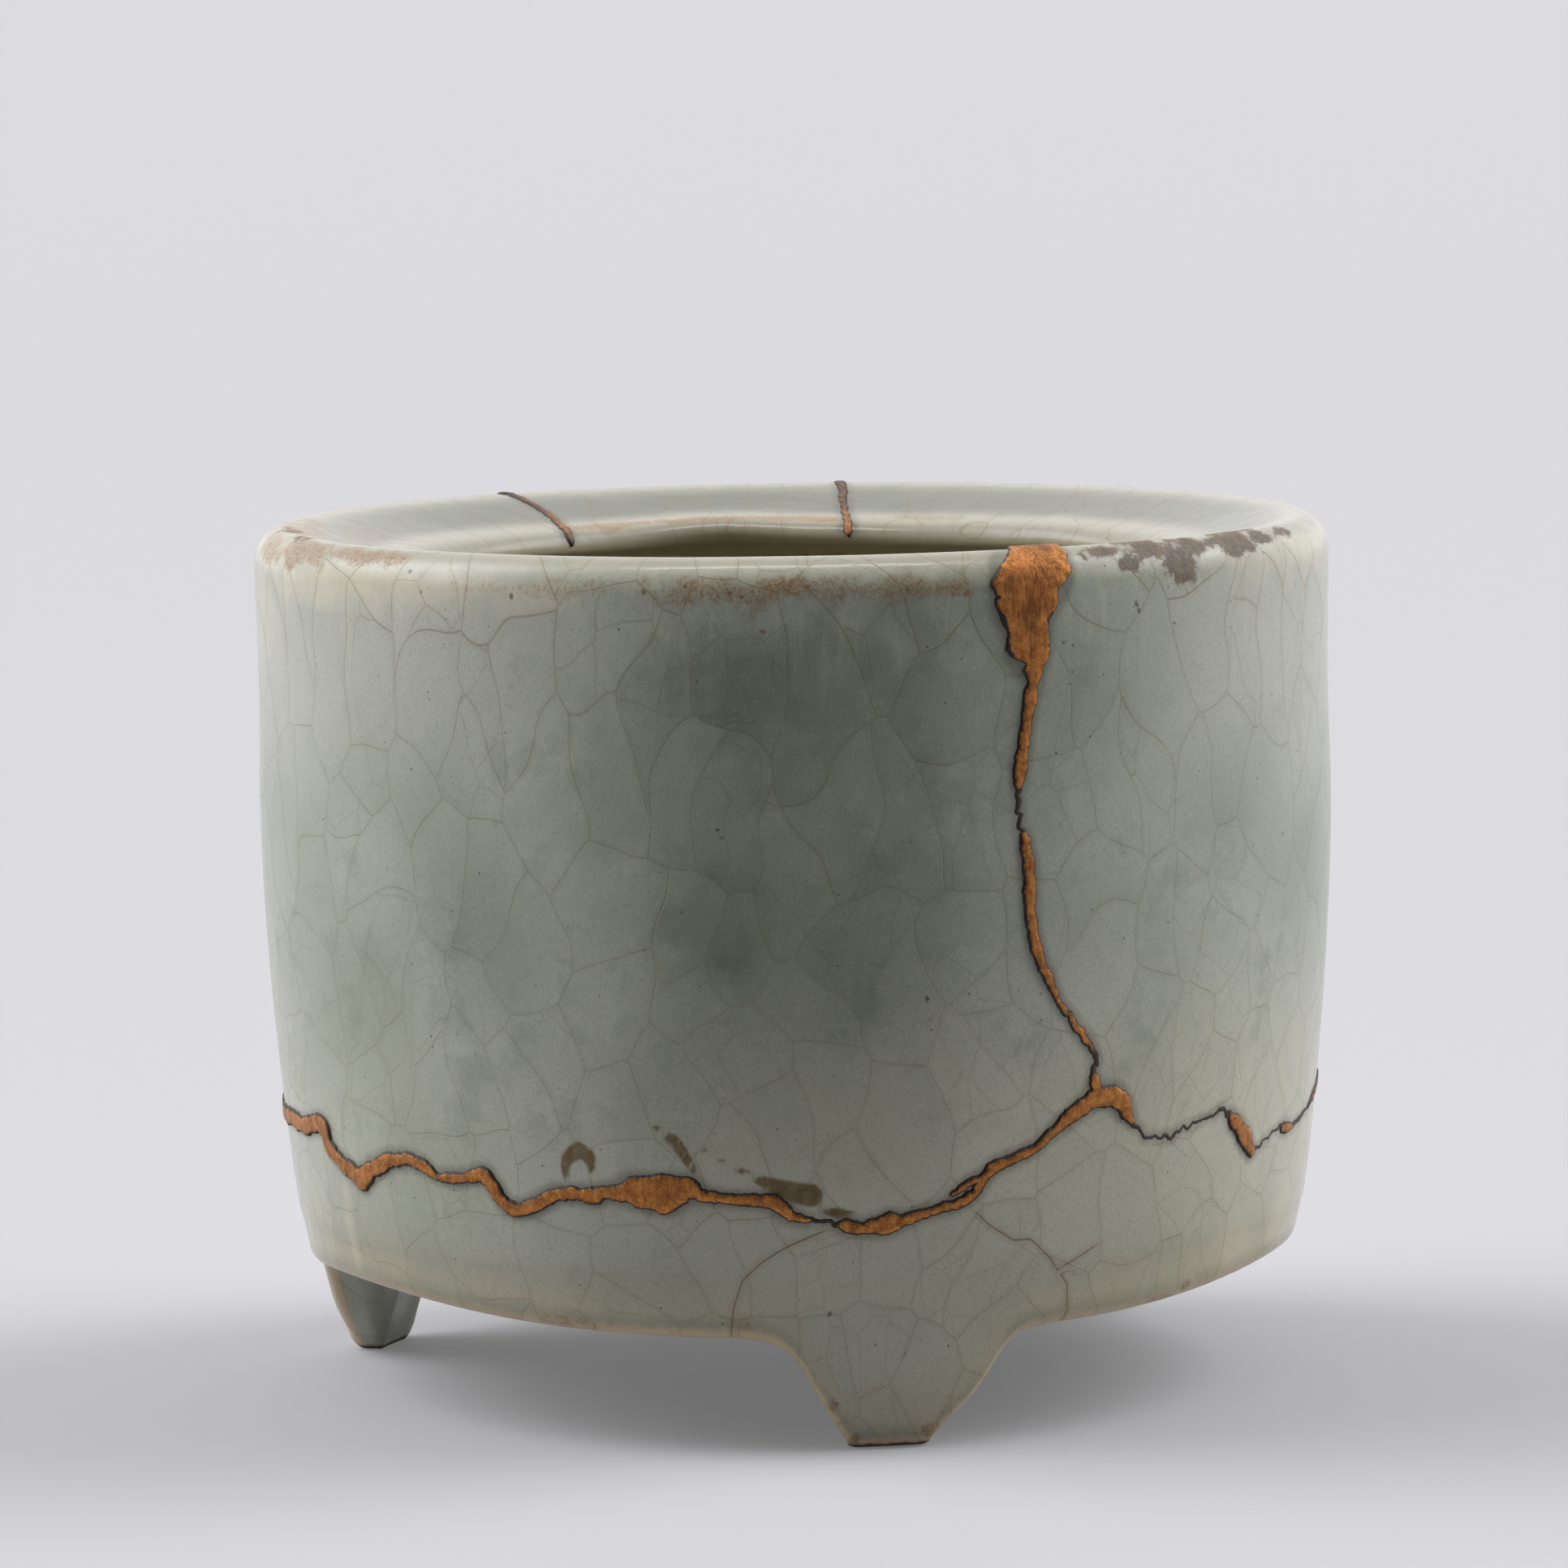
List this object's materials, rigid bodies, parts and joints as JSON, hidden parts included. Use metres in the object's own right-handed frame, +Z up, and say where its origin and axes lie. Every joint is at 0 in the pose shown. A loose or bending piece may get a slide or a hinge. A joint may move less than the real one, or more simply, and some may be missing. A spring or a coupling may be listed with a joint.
{
  "type": "kintsugi incense burner",
  "caption": "Cylindrical tripod incense burner with an in-turned lip and tab feet, in crackled celadon glaze, its breaks and a rim chip mended with raised gold lacquer seams.",
  "frame": {"origin": "on the ground plane under the middle of the vessel", "axes": "+Z up through the mouth, -Y towards the front foot, which stands below the front of the vessel"},
  "size_m": [0.0902, 0.0902, 0.0723],
  "materials": {
    "celadon_glaze": "glossy crackled celadon glaze, grey-green, warmer where it runs thin",
    "gold_lacquer": "satin gold powder on lacquer, worn to dark lacquer at the edges"
  },
  "bodies": {
    "root": {"vessel": "celadon_glaze", "gold_lacquer_seams": "gold_lacquer"}
  },
  "joints": []
}
